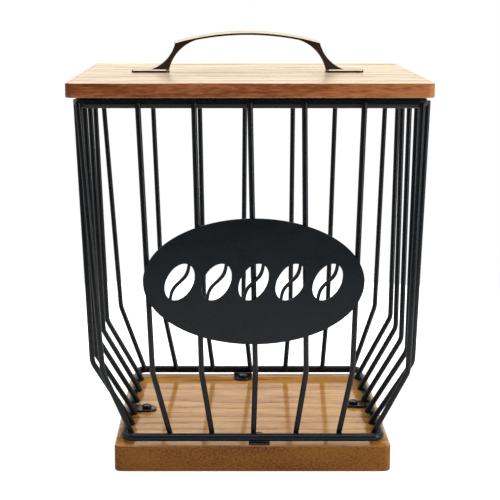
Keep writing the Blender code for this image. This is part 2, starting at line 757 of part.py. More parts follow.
clear_scene()
BASKET = new_collection("storage_basket")
CUTTERS = new_collection("cutters")

black_coat = finish("black_powder_coat", (0.012, 0.013, 0.015), 0.38, 0.0)
light_wood = finish("lacquered_wood_lid", (0.62, 0.33, 0.13), 0.35, 0.0)
brown_wood = finish("lacquered_wood_base", (0.42, 0.2, 0.075), 0.35, 0.0)
antique_nickel = finish("antique_nickel", (0.46, 0.42, 0.34), 0.33, 1.0)
black_screw = finish("black_screw", (0.02, 0.02, 0.022), 0.3, 0.0)
zinc_plate = finish("zinc_plate", (0.6, 0.6, 0.6), 0.35, 1.0)

make_base(brown_wood)
make_rings(black_coat)
make_front_and_back(black_coat)
make_sides(black_coat)
make_tabs(black_coat, black_screw)
make_plate(black_coat)
carry("basket", BASKET_ASIDE, BASKET_BEHIND)

make_lid(light_wood)
make_cleats(light_wood, zinc_plate)
make_pull(antique_nickel)
make_pull_screws(zinc_plate)
carry("lid", 0, 0)
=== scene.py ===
# Looks of the storage basket with a lift-off lid.
# Each piece is modelled afresh in the place of its solid, from the solid's own box or mesh:
# bent and welded wires, two rings, a pierced oval plate, tabs and screws, two lacquered boards
# and a cast pull. Metres, +Z up, the front faces -Y.

from math import asin, cos, pi, radians, sin, sqrt, tan

import bmesh
import bpy
from mathutils import Matrix, Vector
from mathutils.geometry import intersect_line_line


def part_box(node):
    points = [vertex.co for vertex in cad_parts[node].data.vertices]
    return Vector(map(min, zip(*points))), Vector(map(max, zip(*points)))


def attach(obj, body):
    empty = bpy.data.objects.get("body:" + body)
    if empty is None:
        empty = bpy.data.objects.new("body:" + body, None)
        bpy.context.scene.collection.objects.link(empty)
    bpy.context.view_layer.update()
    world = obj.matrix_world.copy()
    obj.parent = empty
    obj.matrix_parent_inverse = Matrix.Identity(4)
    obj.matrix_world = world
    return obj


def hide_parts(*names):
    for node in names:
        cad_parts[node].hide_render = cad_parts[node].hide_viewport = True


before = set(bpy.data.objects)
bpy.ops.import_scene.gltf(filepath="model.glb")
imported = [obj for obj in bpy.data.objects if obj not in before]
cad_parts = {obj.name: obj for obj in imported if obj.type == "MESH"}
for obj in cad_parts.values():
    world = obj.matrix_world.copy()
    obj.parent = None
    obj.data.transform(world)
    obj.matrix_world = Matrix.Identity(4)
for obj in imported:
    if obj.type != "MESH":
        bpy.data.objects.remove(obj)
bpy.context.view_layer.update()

MM = 0.001
TINY = 0.01 * MM
SMOOTH_ANGLE = radians(38)
SHARP_ANGLE = radians(50)
SIDES = ("front", "right", "back", "left")

# Wires of the cage. The photograph shows them a little thicker than their solids, and shorter at
# the top.
WIRE = 3 * MM
WIRE_THICKER = 0.4 * MM
WIRE_SHORTER = 0.7 * MM
WIRE_SIDES = 20
WIRE_BEND = 11 * MM
WIRE_BEND_STEPS = 10
WIRE_END = 0.5 * MM

# Rings, with the radius of their corners. The photograph shows both a little thicker than their
# solids, and the upper one lower. It grows outwards, so the cleats keep their play inside it.
TOP_CORNER = 5 * MM
TOP_THICKER = 1.2 * MM
TOP_LOWER = 0.8 * MM
LOW_CORNER = 6 * MM
LOW_THICKER = 0.5 * MM
RING_CORNER_STEPS = 12
RING_SIDES = 6

# Weld nuggets where a wire crosses a ring: half sizes along the ring, into it, and upwards
NUGGET = Vector((1.9, 1.1, 1.5)) * MM
NUGGET_SINK = 0.15 * MM

# Oval plate
PLATE_THICK = 1.2 * MM
PLATE_STEPS = 144
PLATE_EDGE = 0.22 * MM
BEANS = 5
BEAN_LENGTH = 24.5 * MM
BEAN_WIDTH = 15.8 * MM
BEAN_PITCH = 22.2 * MM
BEAN_TILT = radians(28)
BEAN_CREASE = 2.1 * MM
BEAN_SWAY = 1.4 * MM
BEAN_STEPS = 64

# Spot welds behind the plate: the number of each front wire, and how far up the plate's face
SPOTS = ((2, 8 * MM), (2, 2.4 * MM), (4, 29 * MM), (4, 23.7 * MM), (4, -30.5 * MM),
         (6, 5.2 * MM), (6, 0))
SPOT = Vector((1.4, 2.4, 0.7)) * MM
DENT = Vector((1.5, 0.8, 2.4)) * MM
DENT_DEPTH = 0.14 * MM

# Tabs
TAB_EDGE = 0.2 * MM
TAB_STEPS = 24
TAB_HOLE_PLAY = 0.3 * MM
TAB_SCREW = 3.4 * MM
TAB_HEAD = 6.6 * MM
TAB_HEAD_HEIGHT = 2.1 * MM
TAB_RECESS = (3.6 * MM, 1.3 * MM)

# Screws under the lid
CLEAT_SCREW = 2.8 * MM
CLEAT_HEAD = 5.6 * MM
CLEAT_HEAD_HEIGHT = 1.6 * MM
CLEAT_HEAD_RIM = 0.15 * MM
CLEAT_RECESS = (3 * MM, 1.2 * MM)
PULL_SCREW = 4 * MM
PULL_HEAD = 7.6 * MM
PULL_HEAD_HEIGHT = 2.4 * MM
PULL_RECESS = (4.2 * MM, 1.5 * MM)

# All screws: the roots of the thread and the tip are shares of the shank's radius
SCREW_SIDES = 32
HEAD_STEPS = 8
HEAD_RIM = 0.2 * MM
RECESS_TAPER = 0.45
THREAD_PITCH = 1.1 * MM
THREAD_START = 1.5 * MM
THREAD_END = 3 * MM
THREAD_ROOT = 0.76
TIP = 0.8

# Boards. The photograph shows the lid's a little thicker than its solid, downwards.
LID_LOWER = 0.25 * MM
LID_CORNER = 4.5 * MM
LID_EDGE = 0.7 * MM
BASE_CORNER = 4.5 * MM
BASE_EDGE = 0.9 * MM
CLEAT_CORNER = 4 * MM
CLEAT_EDGE = 0.5 * MM
CORNER_STEPS = 10
EDGE_STEPS = 3

# Cast pull
PULL_CORNERS = 94.2 * MM
ARCH_RISE = 6.6 * MM
ARCH_THICK = 2.4 * MM
STRAP_THICK = 1.7 * MM
STRAP_CHAMFER = 1.1 * MM
STRAP_END = 0.4 * MM
LEG_WIDTH = 8 * MM
LEG_ROOT = 62.5 * MM
LEG_OUT_HOLLOW = 3 * MM
LEG_IN_HOLLOW = 3.6 * MM
LEG_IN_SPAN = 66 * MM
LEG_SET_IN = 0.4 * MM
LEG_EDGE = 0.5 * MM
FOOT_LENGTH = 24.5 * MM
FOOT_THICK = 1.7 * MM
FOOT_CORNER = 3 * MM
FOOT_CHAMFER = 0.7 * MM
ARCH_STEPS = 40

# The photograph's viewpoint, the floor, and what the lamps aim at
CAMERA_PLACE = (-0.0139, -0.914, 0.29963)
CAMERA_PITCH = 0.18834
CAMERA_LENS = 100.8
CAMERA_SHIFT = 0.048
FLOOR_RADIUS = 0.5
LAMP_AIM = Vector((0, 0, 0.12))


# Modelling by hand

def fresh():
    """Deselect everything, outside edit mode."""
    if bpy.context.mode != "OBJECT":
        bpy.ops.object.mode_set(mode="OBJECT")
    bpy.ops.object.select_all(action="DESELECT")


def primitive(kind, scale=(1, 1, 1), **settings):
    """Add a primitive with nothing else selected, and put its place into its mesh."""
    fresh()
    getattr(bpy.ops.mesh, f"primitive_{kind}_add")(**settings)
    bpy.context.object.scale = scale
    bpy.ops.object.transform_apply(location=True, rotation=True, scale=True)
    return bpy.context.object


def single(obj):
    """Select one piece and nothing else, outside edit mode."""
    fresh()
    obj.select_set(True)
    bpy.context.view_layer.objects.active = obj


def select_everything():
    """In edit mode, select all of the piece."""
    bpy.ops.mesh.select_all(action="SELECT")


def edit(obj):
    """Go into edit mode on one piece, with all of it selected."""
    single(obj)
    bpy.ops.object.mode_set(mode="EDIT")
    bpy.ops.mesh.select_mode(type="VERT")
    select_everything()


def choose(kind, test):
    """In edit mode, select the faces, edges or vertices that pass a test, and nothing else."""
    bpy.ops.mesh.select_mode(type=kind)
    bpy.ops.mesh.select_all(action="DESELECT")
    mesh = bpy.context.object.data
    shape = bmesh.from_edit_mesh(mesh)
    parts = {"VERT": shape.verts, "EDGE": shape.edges, "FACE": shape.faces}[kind]
    for part in parts:
        if test(part):
            part.select_set(True)
    shape.select_flush_mode()
    bmesh.update_edit_mesh(mesh)


def is_upright(edge):
    """Whether an edge leads upwards."""
    return abs(edge.verts[0].co.z - edge.verts[1].co.z) > TINY


def bevel(offset, segments):
    """Round or chamfer the selected edges."""
    bpy.ops.mesh.bevel(offset=offset, offset_type="OFFSET", segments=segments, profile=0.5,
                       affect="EDGES")


def extrude(move):
    """Extrude what is selected, straight."""
    bpy.ops.mesh.extrude_region_move(TRANSFORM_OT_translate={"value": move})


def spin(angle, center, axis, steps):
    """Spin what is selected about an axis. The operator itself turns clockwise."""
    bpy.ops.mesh.spin(steps=steps, angle=-angle, center=center, axis=axis)


def modify(obj, kind, **settings):
    """Put a modifier on a piece and apply it."""
    single(obj)
    step = obj.modifiers.new(kind.title(), kind)
    for name, value in settings.items():
        setattr(step, name, value)
    bpy.ops.object.modifier_apply(modifier=step.name)


def ease(obj, width):
    """Round the sharp edges of a piece."""
    modify(obj, "BEVEL", width=width, segments=2, limit_method="ANGLE", angle_limit=SHARP_ANGLE)


def combine(obj, other, operation):
    """Join another shape to a piece or cut it out, and remove that shape."""
    modify(obj, "BOOLEAN", operation=operation, solver="EXACT", object=other)
    bpy.data.objects.remove(other, do_unlink=True)


def move(obj, matrix):
    """Put a shape's new place into its mesh."""
    obj.data.transform(matrix)
    obj.data.update()


def duplicate(obj):
    """A copy of a shape, with a mesh of its own."""
    twin = obj.copy()
    twin.data = obj.data.copy()
    bpy.context.scene.collection.objects.link(twin)
    return twin


def piece(obj, node, body, finish, flat=False):
    """Complete a piece: its finish, its shading, the solid that it stands for and its body."""
    edit(obj)
    bpy.ops.mesh.normals_make_consistent(inside=False)
    single(obj)
    bpy.ops.object.shade_smooth_by_angle(angle=SMOOTH_ANGLE)
    if flat:
        modify(obj, "WEIGHTED_NORMAL", keep_sharp=True)
    obj.data.materials.append(finish)
    obj.name = f"{node}_finished"
    obj.data.name = obj.name
    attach(obj, body)
    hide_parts(node)


def draw(start, moves, axis, steps):
    """Draw an outline with one vertex that is extruded straight or spun round an arc.

    Each move is an end point and how far the line bows from the straight, 0 for none. A bow is
    to the left as seen against the axis that the outline turns about.
    """
    outline = primitive("plane", size=TINY, location=start)
    edit(outline)
    bpy.ops.mesh.merge(type="CENTER")
    here = Vector(start)
    axis = Vector(axis)
    for end, bow in moves:
        chord = Vector(end) - here
        if bow:
            left = axis.cross(chord).normalized()
            radius = (chord.length_squared / 4 + bow * bow) / (2 * bow)
            center = here + chord / 2 + left * (bow - radius)
            turn = -2 * asin(chord.length / 2 / radius)
            spin(turn, center, axis, steps)
        else:
            bpy.ops.mesh.extrude_vertices_move(TRANSFORM_OT_translate={"value": chord})
        here = Vector(end)
    return outline


def fill(thick):
    """Close the drawn outline and give it its thickness."""
    select_everything()
    bpy.ops.mesh.remove_doubles(threshold=TINY)
    bpy.ops.mesh.edge_face_add()
    extrude(thick)
    select_everything()
    bpy.ops.mesh.normals_make_consistent(inside=False)
    fresh()


def turned(profile, steps):
    """A turned shape about the Z axis: its profile of radius and height, from axis to axis."""
    start, *rest = [(r, 0, z) for r, z in profile]
    shape = draw(start, [(point, 0) for point in rest], (0, 1, 0), 1)
    select_everything()
    spin(2 * pi, (0, 0, 0), (0, 0, 1), steps)
    select_everything()
    bpy.ops.mesh.remove_doubles(threshold=TINY)
    bpy.ops.mesh.normals_make_consistent(inside=False)
    fresh()
    return shape


# Cage

def wire_course(node):
    """Both ends of a wire and its knee, read from its solid: its end faces point along its runs."""
    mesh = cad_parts[node].data
    ends = []
    for pick in (min, max):
        face = pick(mesh.polygons, key=lambda f: f.center.z)
        rim = {tuple(round(c, 7) for c in v.co) for v in mesh.vertices
               if abs(v.co.z - face.center.z) < WIRE}
        middle = sum((Vector(point) for point in rim), Vector()) / len(rim)
        ends.append((middle, face.normal.copy()))
    (low, down), (top, up) = ends
    knee = intersect_line_line(low, low + down, top, top + up)[0]
    return low, knee, top


def bent_wire(low, knee, top):
    """A wire bent once: its round section is extruded, spun round the knee and extruded again."""
    rise = (knee - low).normalized()
    onward = (top - knee).normalized()
    sweep = rise.angle(onward)
    reach = WIRE_BEND * tan(sweep / 2)
    axis = rise.cross(onward).normalized()
    bend_start = knee - rise * reach
    center = bend_start + axis.cross(rise) * WIRE_BEND
    tilt = rise.to_track_quat("Z", "Y").to_euler()
    wire = primitive("circle", vertices=WIRE_SIDES, radius=(WIRE + WIRE_THICKER) / 2, location=low,
                     rotation=tilt)
    edit(wire)
    extrude(bend_start - low)
    spin(sweep, center, axis, WIRE_BEND_STEPS)
    extrude(top - knee - onward * reach)
    select_everything()
    bpy.ops.mesh.fill_holes(sides=0)
    choose("EDGE", lambda e: any(len(f.verts) > 4 for f in e.link_faces))
    bevel(WIRE_END, 3)
    fresh()
    return wire


def ring_line(node, corner, thicker=0, lower=0, outward=0):
    """A ring's centre line: its middle, half its width and depth, its corner, and its wire."""
    low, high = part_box(node)
    wire = high.z - low.z + thicker
    half = (high - low - Vector((wire, wire, wire))) / 2 + Vector((outward, outward, 0))
    return (low + high) / 2 - Vector((0, 0, lower)), half, corner, wire


def nearest_on_ring(point, ring):
    """The place on a ring's centre line that is nearest to a point."""
    middle, half, corner, _ = ring
    flat = point - middle
    inner = Vector([max(corner - h, min(h - corner, c)) for c, h in zip(flat.xy, half.xy)] + [0])
    out = Vector((flat.x, flat.y, 0)) - inner
    return middle + inner + out.normalized() * corner


def weld(end, knee, ring):
    """The weld of a wire to a ring, a flattened lump where they come closest."""
    run = (end - knee).normalized()
    place = knee + run * ((ring[0].z - knee.z) / run.z)
    target = nearest_on_ring(place, ring)
    reach = min((target - knee).dot(run), (end - knee).length - NUGGET.z / 2)
    place = knee + run * reach
    inward = (target - place).normalized()
    turn = Vector((0, 1, 0)).rotation_difference(inward).to_euler()
    return primitive("uv_sphere", scale=NUGGET, segments=20, ring_count=12, radius=1, rotation=turn,
                     location=place + inward * (WIRE / 2 + NUGGET_SINK))


def make_wires(coat, rings):
    """Twenty-four wires, each welded outside the upper ring and inside the lower ring."""
    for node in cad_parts:
        if not node.startswith("wire_"):
            continue
        low, knee, top = wire_course(node)
        top -= (top - knee).normalized() * WIRE_SHORTER
        wire = bent_wire(low, knee, top)
        combine(wire, weld(low, knee, rings["ring_lower"]), "UNION")
        combine(wire, weld(top, knee, rings["ring_upper"]), "UNION")
        piece(wire, node, "basket", coat)


def make_ring(node, ring, surface):
    """A ring of round wire: a rounded rectangle, made a curve and given its thickness."""
    middle, half, corner, wire = ring
    obj = primitive("plane", scale=(half.x, half.y, 1), size=2, location=middle)
    edit(obj)
    bpy.ops.mesh.bevel(offset=corner, segments=RING_CORNER_STEPS, affect="VERTICES")
    select_everything()
    bpy.ops.mesh.delete(type="ONLY_FACE")
    single(obj)
    bpy.ops.object.convert(target="CURVE")
    line = bpy.context.object
    line.data.bevel_depth = wire / 2
    line.data.bevel_resolution = RING_SIDES
    bpy.ops.object.convert(target="MESH")
    piece(bpy.context.object, node, "basket", surface)


# Oval plate

def plate_pose():
    """The plate's own frame: X across, Y up its face, Z out of its front, read from its solid."""
    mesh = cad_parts["oval_plate"].data
    low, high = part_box("oval_plate")
    front = max(mesh.polygons, key=lambda f: f.area if f.normal.y < 0 else 0)
    out = front.normal.copy()
    across = Vector((1, 0, 0))
    up = out.cross(across)
    turn = Matrix((across, up, out)).transposed().to_4x4()
    return Matrix.Translation((low + high) / 2) @ turn


def bean_cutter():
    """A bean seen from the front: an oval block without the crease that sways down its middle."""
    bean = primitive("cylinder", vertices=BEAN_STEPS, radius=1, depth=4 * PLATE_THICK,
                     scale=(BEAN_WIDTH / 2, BEAN_LENGTH / 2, 1))
    crease = primitive("grid", x_subdivisions=1, y_subdivisions=BEAN_STEPS // 2, size=2,
                       location=(0, 0, -3 * PLATE_THICK),
                       scale=(BEAN_CREASE / 2, BEAN_LENGTH / 2 * 1.02, 1))
    edit(crease)
    extrude((0, 0, 6 * PLATE_THICK))
    select_everything()
    bpy.ops.mesh.normals_make_consistent(inside=False)
    fresh()
    for vertex in crease.data.vertices:
        vertex.co.x += BEAN_SWAY * sin(2 * pi * vertex.co.y / BEAN_LENGTH)
    combine(bean, crease, "DIFFERENCE")
    move(bean, Matrix.Rotation(-BEAN_TILT, 4, "Z"))
    return bean


def make_plate(surface):
    """The oval plate with a row of beans cut through it and the dents of its spot welds."""
    low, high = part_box("oval_plate")
    pose = plate_pose()
    lean = pose.to_3x3().col[1]
    height = (high.z - low.z - PLATE_THICK * abs(lean.y)) / abs(lean.z)
    plate = primitive("cylinder", vertices=PLATE_STEPS, radius=1, depth=PLATE_THICK,
                      scale=((high.x - low.x) / 2, height / 2, 1))
    bean = bean_cutter()
    for number in range(BEANS):
        cutter = duplicate(bean)
        move(cutter, Matrix.Translation(((number - (BEANS - 1) / 2) * BEAN_PITCH, 0, 0)))
        combine(plate, cutter, "DIFFERENCE")
    bpy.data.objects.remove(bean, do_unlink=True)
    ease(plate, PLATE_EDGE)
    for number, up in SPOTS:
        low, knee, top = wire_course(f"wire_front_{number}")
        spot = pose @ Vector((0, up, 0))
        behind = knee + (top - knee) * ((spot.z - knee.z) / (top.z - knee.z))
        across = (pose.inverted() @ behind).x
        dent = primitive("uv_sphere", scale=DENT, segments=24, ring_count=16, radius=1,
                         location=(across, up, PLATE_THICK / 2 + DENT.z - DENT_DEPTH))
        combine(plate, dent, "DIFFERENCE")
        lump = primitive("uv_sphere", scale=SPOT, segments=20, ring_count=12, radius=1,
                         location=(across, up, -PLATE_THICK / 2))
        combine(plate, lump, "UNION")
    move(plate, pose)
    piece(plate, "oval_plate", "basket", surface, flat=True)


# Tabs and screws

def tab_axes(node):
    """The unit vectors of a tab: along its side of the basket, and out from the basket's middle."""
    low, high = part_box(node)
    middle = (low + high) / 2
    if abs(middle.x) > abs(middle.y):
        out = Vector((1 if middle.x > 0 else -1, 0, 0))
    else:
        out = Vector((0, 1 if middle.y > 0 else -1, 0))
    return Vector((-out.y, out.x, 0)), out


def make_tab(side, coat):
    """A tab with a round inner end, its edges eased, and its screw hole."""
    node = f"tab_{side}"
    low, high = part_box(node)
    along, out = tab_axes(node)
    middle = (low + high) / 2
    size = high - low
    half = abs(along.dot(size)) / 2
    reach = abs(out.dot(size)) / 2
    base = Vector((middle.x, middle.y, low.z))
    inner = base - out * (reach - half)
    corners = [base + out * reach - along * half, inner - along * half, inner + along * half,
               base + out * reach + along * half]
    tab = draw(corners[3], [(corners[2], 0), (corners[1], -half), (corners[0], 0)], (0, 0, 1),
               TAB_STEPS)
    fill((0, 0, size.z))
    screw_low, screw_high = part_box(f"tab_screw_{side}")
    hole = (screw_low + screw_high) / 2
    hole.z = middle.z
    drill = primitive("cylinder", vertices=SCREW_SIDES, radius=TAB_SCREW / 2 + TAB_HOLE_PLAY,
                      depth=3 * size.z, location=hole)
    combine(tab, drill, "DIFFERENCE")
    ease(tab, TAB_EDGE)
    piece(tab, node, "basket", coat, flat=True)


def cross_recess(width, depth, top):
    """The cutter of a cross recess, a tapered cross that points down."""
    bars = []
    for size in ((width, width / 4), (width / 4, width)):
        bar = primitive("cube", scale=(*size, depth + TINY), size=1,
                        location=(0, 0, top - depth / 2 + TINY / 2))
        edit(bar)
        choose("FACE", lambda f: f.normal.z < -0.9)
        bpy.ops.transform.resize(value=(RECESS_TAPER, RECESS_TAPER, 1))
        fresh()
        bars.append(bar)
    combine(bars[0], bars[1], "UNION")
    return bars[0]


def rounded_head(radius, height):
    """The profile of a pan head above its seat, from its top down."""
    turns = [pi / 2 * i / HEAD_STEPS for i in range(HEAD_STEPS + 1)]
    dome = [(radius * sin(turn), height * (0.45 + 0.55 * cos(turn))) for turn in turns]
    return [*dome, (radius, HEAD_RIM), (radius - HEAD_RIM, 0)]


def make_screw(node, body, coat, head, shank, recess, upside_down):
    """A screw with a cross recess and a thread. Its head's seat is at 0, or its flat top is."""
    low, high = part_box(node)
    top = head[0][1]
    length = high.z - low.z - top
    profile = [*head, (shank, head[-1][1] - TINY)]
    z = head[-1][1] - THREAD_START
    while z - THREAD_PITCH > THREAD_END - length:
        profile += [(shank, z), (shank * THREAD_ROOT, z - 0.35 * THREAD_PITCH),
                    (shank, z - 0.7 * THREAD_PITCH)]
        z -= THREAD_PITCH
    profile += [(shank * TIP, z), (0, -length)]
    screw = turned(profile, SCREW_SIDES)
    combine(screw, cross_recess(*recess, top), "DIFFERENCE")
    middle = (low + high) / 2
    if upside_down:
        place = Matrix.Translation((middle.x, middle.y, low.z + top))
        move(screw, place @ Matrix.Rotation(pi, 4, "X"))
    else:
        move(screw, Matrix.Translation((middle.x, middle.y, high.z - top)))
    piece(screw, node, body, coat)


def make_screws(black, zinc):
    """The screws of the tabs, of the cleats and of the pull."""
    pan = rounded_head(TAB_HEAD / 2, TAB_HEAD_HEIGHT)
    for side in SIDES:
        make_screw(f"tab_screw_{side}", "basket", black, pan, TAB_SCREW / 2, TAB_RECESS, False)
    pan = rounded_head(PULL_HEAD / 2, PULL_HEAD_HEIGHT)
    sunk = [(0, 0), (CLEAT_HEAD / 2 - CLEAT_HEAD_RIM, 0), (CLEAT_HEAD / 2, -CLEAT_HEAD_RIM),
            (CLEAT_SCREW / 2, -CLEAT_HEAD_HEIGHT)]
    for hand in ("left", "right"):
        make_screw(f"handle_screw_{hand}", "lid", zinc, pan, PULL_SCREW / 2, PULL_RECESS, True)
        for number in (1, 2):
            make_screw(f"cleat_screw_{hand}_{number}", "lid", zinc, sunk, CLEAT_SCREW / 2,
                       CLEAT_RECESS, True)


# Boards

def make_board(node, body, finish, corner, edge, lower=0):
    """A board in the place of its solid, with round corners and eased edges."""
    low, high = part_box(node)
    low.z -= lower
    board = primitive("cube", size=1, location=(low + high) / 2, scale=high - low)
    edit(board)
    choose("EDGE", is_upright)
    bevel(corner, CORNER_STEPS)
    choose("FACE", lambda f: abs(f.normal.z) > 0.99)
    bpy.ops.mesh.region_to_loop()
    bevel(edge, EDGE_STEPS)
    fresh()
    piece(board, node, body, finish, flat=True)


def make_boards(lid_wood, base_wood):
    """The lid, its two cleats and the base board."""
    make_board("lid_board", "lid", lid_wood, LID_CORNER, LID_EDGE, LID_LOWER)
    make_board("base_board", "basket", base_wood, BASE_CORNER, BASE_EDGE)
    for hand in ("left", "right"):
        make_board(f"lid_cleat_{hand}", "lid", lid_wood, CLEAT_CORNER, CLEAT_EDGE)


# Cast pull

def arch_radius():
    """The radius of the arch's top, from its span and its rise."""
    return ((PULL_CORNERS / 2) ** 2 + ARCH_RISE ** 2) / (2 * ARCH_RISE)


def under_arch(x, top):
    """The height of the arch's underside, at a distance from its middle."""
    radius = arch_radius()
    return top - ARCH_THICK - radius + sqrt(radius ** 2 - x ** 2)


def pull_web(low, high):
    """Both legs and the web under the strap, as one casting with rounded edges."""
    y = -LEG_WIDTH / 2
    corner = PULL_CORNERS / 2 - LEG_SET_IN
    strap_z = high.z - ARCH_RISE - STRAP_THICK / 2
    foot_in = high.x - FOOT_LENGTH + LEG_SET_IN
    low_z = low.z + FOOT_THICK / 2
    root_z = low.z + FOOT_THICK
    inner_z = under_arch(LEG_IN_SPAN / 2, high.z)
    rise = ARCH_RISE * corner / (PULL_CORNERS / 2)
    under = under_arch(0, high.z) - inner_z
    moves = [
        ((corner, y, strap_z), -rise),
        ((LEG_ROOT, y, root_z), LEG_OUT_HOLLOW),
        ((LEG_ROOT, y, low_z), 0),
        ((foot_in, y, low_z), 0),
        ((LEG_IN_SPAN / 2, y, inner_z), LEG_IN_HOLLOW),
        ((-LEG_IN_SPAN / 2, y, inner_z), under),
        ((-foot_in, y, low_z), LEG_IN_HOLLOW),
        ((-LEG_ROOT, y, low_z), 0),
        ((-LEG_ROOT, y, root_z), 0),
        ((-corner, y, strap_z), LEG_OUT_HOLLOW),
    ]
    web = draw((-corner, y, strap_z), moves, (0, 1, 0), ARCH_STEPS)
    fill((0, LEG_WIDTH, 0))
    ease(web, LEG_EDGE)
    return web


def pull_strap(high):
    """The wide strap over the arch: its section, with chamfered upper edges, is spun along it."""
    half = PULL_CORNERS / 2
    width = high.y
    end_z = high.z - ARCH_RISE
    radius = arch_radius()
    section = [(-half, -width, end_z - STRAP_THICK), (-half, width, end_z - STRAP_THICK),
               (-half, width, end_z - STRAP_CHAMFER), (-half, width - STRAP_CHAMFER, end_z),
               (-half, -width + STRAP_CHAMFER, end_z), (-half, -width, end_z - STRAP_CHAMFER)]
    strap = draw(section[0], [(point, 0) for point in section[1:]], (1, 0, 0), 1)
    select_everything()
    bpy.ops.mesh.edge_face_add()
    bpy.ops.mesh.delete(type="ONLY_FACE")
    select_everything()
    spin(2 * asin(half / radius), (0, 0, high.z - radius), (0, 1, 0), ARCH_STEPS)
    select_everything()
    bpy.ops.mesh.fill_holes(sides=0)
    bpy.ops.mesh.normals_make_consistent(inside=False)
    choose("FACE", lambda f: len(f.verts) > 4)
    bpy.ops.mesh.region_to_loop()
    bevel(STRAP_END, 2)
    fresh()
    return strap


def pull_foot(hand, low, high):
    """A flat foot with round corners and a chamfer round its top."""
    middle = hand * (high.x - FOOT_LENGTH / 2)
    foot = primitive("cube", size=1, location=(middle, 0, low.z + FOOT_THICK / 2),
                     scale=(FOOT_LENGTH, high.y - low.y, FOOT_THICK))
    edit(foot)
    choose("EDGE", is_upright)
    bevel(FOOT_CORNER, CORNER_STEPS)
    choose("FACE", lambda f: f.normal.z > 0.99)
    bpy.ops.mesh.region_to_loop()
    bevel(FOOT_CHAMFER, 1)
    fresh()
    return foot


def make_pull(nickel):
    """The arched pull, one casting."""
    low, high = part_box("handle")
    pull = pull_web(low, high)
    combine(pull, pull_strap(high), "UNION")
    for hand in (-1, 1):
        combine(pull, pull_foot(hand, low, high), "UNION")
    piece(pull, "handle", "lid", nickel, flat=True)


# Finishes

def linear(code):
    """An sRGB hex colour as the linear colour that a shader takes."""
    parts = [int(code[i:i + 2], 16) / 255 for i in (1, 3, 5)]
    return [p / 12.92 if p <= 0.04045 else ((p + 0.055) / 1.055) ** 2.4 for p in parts] + [1.0]


def add(tree, kind, inputs=None, stops=None, **settings):
    """Add a node with its settings, its inputs' values or links, and the stops of its ramp."""
    step = tree.nodes.new(f"ShaderNode{kind}")
    for name, value in settings.items():
        setattr(step, name, value)
    for key, value in (inputs or {}).items():
        if isinstance(value, bpy.types.NodeSocket):
            tree.links.new(value, step.inputs[key])
        else:
            step.inputs[key].default_value = value
    for number, (place, color) in enumerate(stops or ()):
        marks = step.color_ramp.elements
        mark = marks[number] if number < len(marks) else marks.new(place)
        mark.position = place
        mark.color = color
    return step


def surface(name):
    """A new material, its node tree, its shader and the Object coordinates."""
    made = bpy.data.materials.new(name)
    made.use_nodes = True
    tree = made.node_tree
    return made, tree, tree.nodes["Principled BSDF"], add(tree, "TexCoord")


def squeezed(tree, vector, along):
    """Coordinates squeezed along X, so that a pattern comes out longer that way."""
    return add(tree, "Mapping", {"Vector": vector, "Scale": (along, 1, 1)}).outputs["Vector"]


def noise(tree, vector, scale, detail, roughness=0.5):
    """A noise pattern on coordinates in metres."""
    return add(tree, "TexNoise", {"Vector": vector, "Scale": scale, "Detail": detail,
                                  "Roughness": roughness})


def satin_powder_coat():
    """Polyester powder coat, sprayed on welded steel and baked. It looks near-black and satin, and
    its orange peel breaks up the highlights along the wires."""
    made, tree, shader, place = surface("satin_black_powder_coat")
    # The reflection is turned down where a surface is seen at a low angle: painted shade that
    # keeps the rims of the wires black
    slant = add(tree, "LayerWeight", {"Blend": 0.5})
    sheen = add(tree, "MapRange", {"Value": slant.outputs["Facing"], "From Min": 0.4,
                                   "From Max": 0.85, "To Min": 0.2, "To Max": 0.02})
    tree.links.new(sheen.outputs["Result"], shader.inputs["Specular IOR Level"])
    # The peel's waves are 1.4 mm across
    peel = noise(tree, place.outputs["Object"], 700, 2)
    bump = add(tree, "Bump", {"Height": peel.outputs["Fac"], "Strength": 0.08,
                              "Distance": 0.03 * MM})
    tree.links.new(bump.outputs["Normal"], shader.inputs["Normal"])
    # The coat is a little thicker and bluer in patches of 12 mm
    patch = noise(tree, place.outputs["Object"], 80, 3)
    tone = add(tree, "ValToRGB", {"Fac": patch.outputs["Fac"]},
               stops=((0.3, linear("#0b1015")), (0.7, linear("#10161c"))))
    tree.links.new(tone.outputs["Color"], shader.inputs["Base Color"])
    gloss = add(tree, "MapRange", {"Value": patch.outputs["Fac"], "To Min": 0.24, "To Max": 0.32})
    tree.links.new(gloss.outputs["Result"], shader.inputs["Roughness"])
    return made


